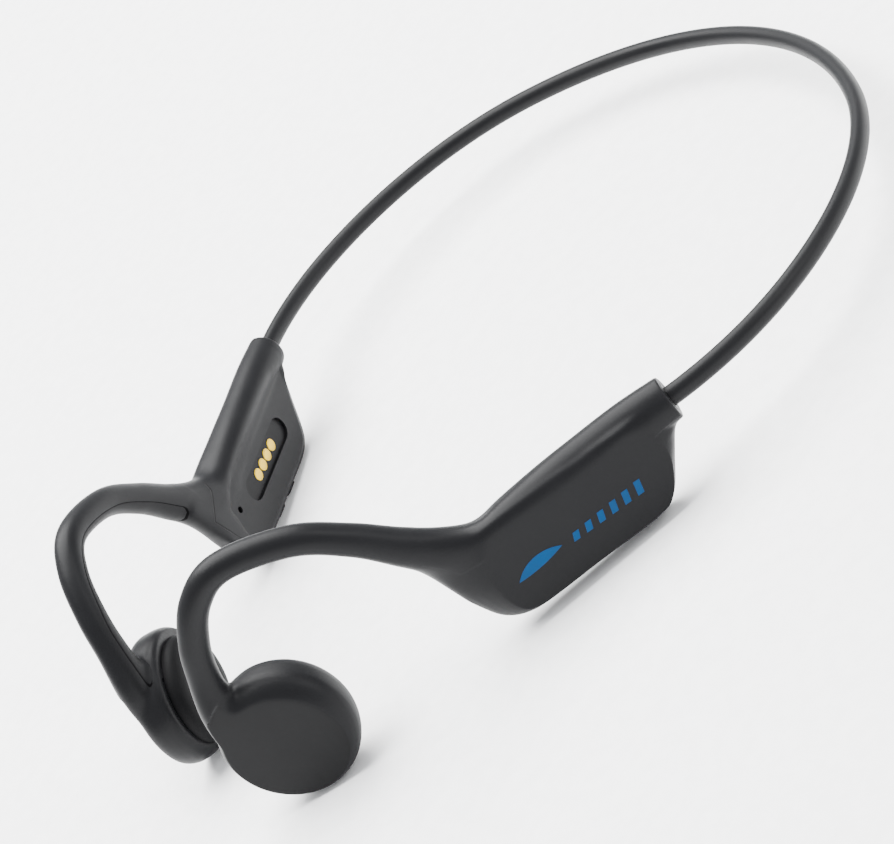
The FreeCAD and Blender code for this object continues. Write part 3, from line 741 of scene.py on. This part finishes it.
stripPoints, stripFaces = stripMesh(0.0, 0.0, strip["proud"])
# a wider near-black ribbon under the strip: its thin border is painted shadow in the gap round the strip
gapShadowPoints, gapShadowFaces = stripMesh(strip["gapAngle"], strip["gapRun"], strip["gapProud"])
padPoints, padFaces = lathe(pad["profile"], puck["around"])
# The collar's flange, a ring round the band, flush with the end of the pod
lipRing = {"profile": [(1.74, 0.6), (1.74, 0.08), (1.84, -0.02), (2.1, -0.05), (2.5, -0.05), (2.62, 0.0), (2.66, 0.08),
                       (2.66, 0.6)], "z": 0.1, "width": 0.97, "count": 96}
lipPoints, lipFaces = [], ringFaces(len(lipRing["profile"]), lipRing["count"], closed=True)
for radius, level in lipRing["profile"]:
    lipPoints += [(level, radius * lipRing["width"] * math.cos(a), lipRing["z"] + radius * math.sin(a))
                  for a in np.linspace(0, 2 * np.pi, lipRing["count"], endpoint=False)]
contact = {"profile": [(0, 0.10), (0.70, 0.12), (0.80, 0.10), (0.86, 0.04), (0.92, 0.09), (1.0, 0.12), (1.08, 0.10),
                       (1.12, 0.02), (1.12, -0.6), (0, -0.6)], "pitch": 2.54, "floor": -2.1}

for sideName, side in sides.items():
    body = sideName + "_side"
    pod = keepObject(sideName + "_pod_skin", (podMesh if side > 0 else rightPodMesh).copy(), materials["skin"])
    hook = keepObject(sideName + "_hook_skin", hookMesh.copy(), materials["skin"])
    cap = keepObject(sideName + "_cap_face", capMesh.copy(), materials["cap"])
    for piece in (pod, hook, cap):
        planned(piece.data)
        placeSide(piece.data, side)
        if side < 0:
            piece.data.flip_normals()
    padPiece = meshObject(sideName + "_pad_face", fromSide(fromDisc(padPoints), side), padFaces, materials["pad"])
    ribbon = meshObject(sideName + "_hook_strip_face", fromSide(stripPoints, side), stripFaces, materials["strip"])
    # the gap ribbon takes the seal's near-black as painted shadow along the strip's edges
    gap = meshObject(sideName + "_hook_strip_gap", fromSide(gapShadowPoints, side), gapShadowFaces, materials["seal"])
    lip = meshObject(sideName + "_collar_lip", fromSide(lipPoints, side), lipFaces, materials["band"])
    for piece, slot, nodes in ((pod, "pod_plastic", ("outer_shell", "inner_shell", "shell_seal")),
                               (hook, "silicone_skin", ("hook_sleeve", "transducer_housing")),
                               (cap, "cap_plastic", ("transducer_cap",)),
                               (padPiece, "pad_silicone", ("transducer_pad",)),
                               (ribbon, "silicone_skin", ("hook_strip",)),
                               (gap, "seal_silicone", ("hook_strip",)),
                               (lip, "silicone_skin", ("band_collar",))):
        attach(piece, body)
        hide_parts(*[sideName + "_" + n for n in nodes])
print("stage: sides")

contactPoints, contactFaces = [], []
pinPoints, pinFaces = lathe(contact["profile"], 48)
for i in range(4):
    start = len(contactPoints)
    contactPoints += [(recess["x"] + (i - 1.5) * contact["pitch"] + p[0], contact["floor"] - p[2], recess["z"] + p[1])
                      for p in pinPoints]
    contactFaces += [tuple(start + k for k in f) for f in pinFaces]
contacts = meshObject("charge_contact_pins", fromSide(contactPoints, -1), contactFaces, materials["gold"])
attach(contacts, "right_side")
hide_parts("charge_contacts")


# half width, half height, rise above the band's middle, length inside the pod, material, slot
lines = {"neckband_sleeve": (neckband["halfWidth"], neckband["halfHeight"], 0.0, neckband["inPod"], "band",
                             "silicone_skin"),
         "neckband_spring_wire": (0.44, 0.44, -0.62, 9.8, "steel", "steel"),
         "neckband_cable": (0.49, 0.49, 0.55, 13.8, "cable", "cable_pvc")}
bandAngles = 2 * np.pi * np.arange(neckband["around"]) / neckband["around"]
flexHeading = np.array([math.cos(firstTurn), -math.sin(firstTurn), 0.0])
for node, (halfWidth, halfHeight, rise, inPod, material, slot) in lines.items():
    points, headings, corner = bandPath(inPod)
    for sideName, side in sides.items():
        across, up = halfWidth * np.cos(bandAngles), rise + halfHeight * np.sin(bandAngles)
        rings = [np.column_stack([p[0] - h[1] * across, p[1] + h[0] * across, up])
                 for p, h in zip(points, headings)]
        half = meshObject(node + "_" + sideName, fromBand(np.vstack(rings), side),
                          ringFaces(len(rings), len(bandAngles)), materials[material])
        edit = bmesh.new()
        edit.from_mesh(half.data)
        for f in edit.faces:
            if len(f.verts) > 4:
                for e in f.edges:
                    e.smooth = False
        edit.to_mesh(half.data)
        edit.free()
        start, end = (Vector(fromBand([flexInBand + flexHeading * d], side)[0])
                      for d in (-neckband["bendReach"], neckband["bendReach"]))
        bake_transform(half)
        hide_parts(node)
print("stage: neckband")


nodeFinish = {"driver_yoke": "steel", "driver_magnet": "nickel", "driver_coil": "copper",
              "driver_spring_plate": "steel", "driver_post": "steel", "hook_wire": "steel", "hook_leads": "cable",
              "battery_cell": "foil", "battery_protection_board": "board", "accent_inlay": "blue",
              "charge_contact_carrier": "carrier", "charge_magnets": "nickel", "microphone_mesh": "mesh",
              "microphone": "shield", "main_board": "board", "radio_module": "shield", "memory_chip": "chip",
              "volume_down_button": "button", "power_button": "button", "volume_up_button": "button",
              "button_seal": "seal", "button_switches": "chip", "indicator_lens": "lens"}
for name, node in frame["nodes"].items():
    plain = name.replace("left_", "").replace("right_", "")
    if plain in nodeFinish:
        node.data.materials.clear()
        node.data.materials.append(materials[nodeFinish[plain]])


stageSet = {"floorSize": 6.0, "floorColour": (0.9, 0.9, 0.9), "world": 1.15}
floorMaterial = finish("floor_pale", stageSet["floorColour"], 0.75, vary=0.01, cloud=3.0, grain=300.0,
                       grainDepth=0.0001, specular=0.2)
half = stageSet["floorSize"] / 2
floor = meshObject("floor", [(-half, -half, 0), (half, -half, 0), (half, half, 0), (-half, half, 0)], [(0, 1, 2, 3)],
                   floorMaterial, smooth=False)

world = bpy.data.worlds.new("studio")
bpy.context.scene.world = world
world.use_nodes = True
world.node_tree.nodes["Background"].inputs["Color"].default_value = (0.95, 0.97, 1.0, 1)
world.node_tree.nodes["Background"].inputs["Strength"].default_value = stageSet["world"]

lamps = {"top": ((-0.3, 0.1, 0.95), (0.0, -0.02, 0.0), (1.2, 1.2), 74.0),
         "side": ((0.75, 0.45, 0.5), (0.02, -0.02, 0.01), (0.3, 0.6), 5.0)}
for name, (place, aim, size, power) in lamps.items():
    lamp = bpy.data.lights.new(name, "AREA")
    lamp.shape, lamp.size, lamp.size_y, lamp.energy = "RECTANGLE", size[0], size[1], power
    holder = bpy.data.objects.new(name, lamp)
    bpy.context.scene.collection.objects.link(holder)
    holder.location = place
    holder.rotation_mode = "QUATERNION"
    holder.rotation_quaternion = (Vector(aim) - Vector(place)).to_track_quat("-Z", "Y")

for mesh in (skinMesh, podMesh, hookWhole, hookMesh, capMesh, rightPodMesh):
    bpy.data.meshes.remove(mesh)

bpy.context.view_layer.update()
print("stage: done")
